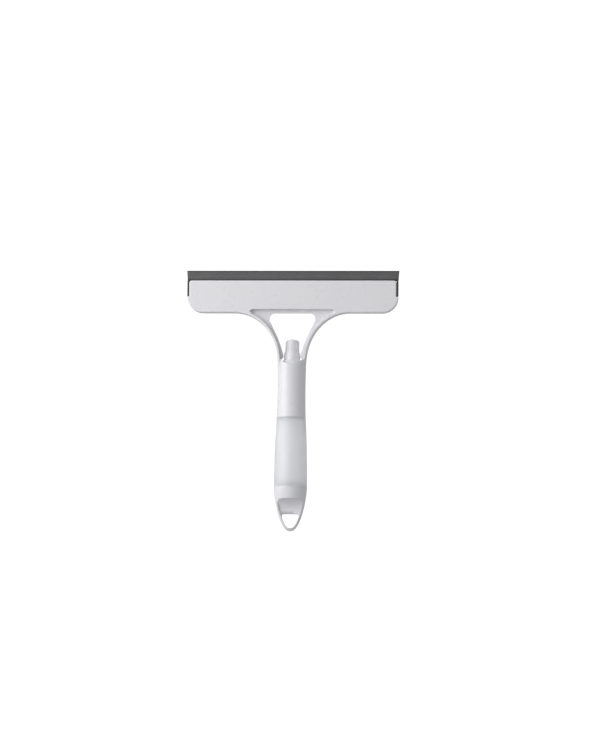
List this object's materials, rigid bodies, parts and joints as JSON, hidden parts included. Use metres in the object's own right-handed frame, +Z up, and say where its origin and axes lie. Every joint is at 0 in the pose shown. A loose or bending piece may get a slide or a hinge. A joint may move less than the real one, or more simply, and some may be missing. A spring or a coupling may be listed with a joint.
{
  "type": "window cleaning squeegee",
  "caption": "Hand squeegee with a wide rubber blade on a two-armed yoke, a spray nozzle between the arms, a rear finger pump and a screw-on bottle as the lower handle.",
  "frame": {"origin": "on the handle's axis in the middle of the grip, 89 mm above the lowest point of the hanging loop", "axes": "+Z runs up the handle to the blade, +X runs along the blade, -Y is the front face of the head and +Y the trigger side"},
  "size_m": [0.242, 0.0522, 0.2956],
  "materials": {
    "white_plastic": "satin gloss, moulded",
    "grey_rubber": "matt, extruded",
    "frosted_plastic": "frosted, translucent",
    "natural_plastic": "natural, unpigmented",
    "seal_rubber": "matt",
    "steel": "plain stainless"
  },
  "bodies": {
    "handle": {"yoke_frame": "white_plastic", "head_back_plate": "white_plastic", "wiper_blade": "grey_rubber", "back_plate_screws": "steel", "rear_cover": "white_plastic", "rear_cover_screws": "steel", "trigger_pin": "steel", "pump_body": "natural_plastic", "return_spring": "steel", "inlet_seat": "natural_plastic", "nozzle_neck": "white_plastic", "spinner": "natural_plastic", "nozzle_oring": "seal_rubber", "bottle_collar": "natural_plastic", "dip_tube": "natural_plastic", "intake_filter": "natural_plastic"},
    "trigger": {"trigger": "white_plastic"},
    "piston": {"pump_piston": "natural_plastic", "piston_seal": "seal_rubber"},
    "inlet_ball": {"inlet_ball": "steel"},
    "outlet_valve": {"outlet_valve": "seal_rubber"},
    "nozzle_cap": {"nozzle_cap": "white_plastic"},
    "gasket": {"neck_gasket": "seal_rubber"},
    "bottle": {"bottle": "frosted_plastic", "base_cap": "white_plastic"}
  },
  "joints": [
    {"name": "trigger_pull", "type": "hinge", "parent": "handle", "child": "trigger", "pos_m": [0, 0.015, 0.091], "axis": [-1, 0, 0], "range_deg": [0, 16], "stiffness_Nm_per_rad": 0.15, "springref_deg": -14.32},
    {"name": "piston_slide", "type": "slide", "parent": "handle", "child": "piston", "axis": [0, -1, 0], "range_m": [0, 0.00462], "deforming": ["return_spring"]},
    {"name": "inlet_ball_lift", "type": "slide", "parent": "handle", "child": "inlet_ball", "axis": [0, 0, 1], "range_m": [0, 0.0008]},
    {"name": "outlet_valve_lift", "type": "slide", "parent": "handle", "child": "outlet_valve", "axis": [0, 0, 1], "range_m": [0, 0.0008], "stiffness_N_per_m": 60, "springref_m": -0.0005},
    {"name": "nozzle_cap_turn", "type": "hinge", "parent": "handle", "child": "nozzle_cap", "pos_m": [0, 0, 0.101], "axis": [0, 0.2588, 0.9659], "range_deg": [0, 270]},
    {"name": "bottle_drop", "type": "slide", "parent": "handle", "child": "gasket", "axis": [0, 0, -1], "range_m": [0, 0.00601]},
    {"name": "bottle_turn", "type": "hinge", "parent": "gasket", "child": "bottle", "pos_m": [0, 0, 0], "axis": [0, 0, -1], "range_deg": [0, 540]}
  ],
  "couplings": [
    {"joint": "piston_slide", "follows": "trigger_pull", "m_per_rad": 0.0165},
    {"joint": "bottle_drop", "follows": "bottle_turn", "m_per_rad": 0.00063662}
  ]
}
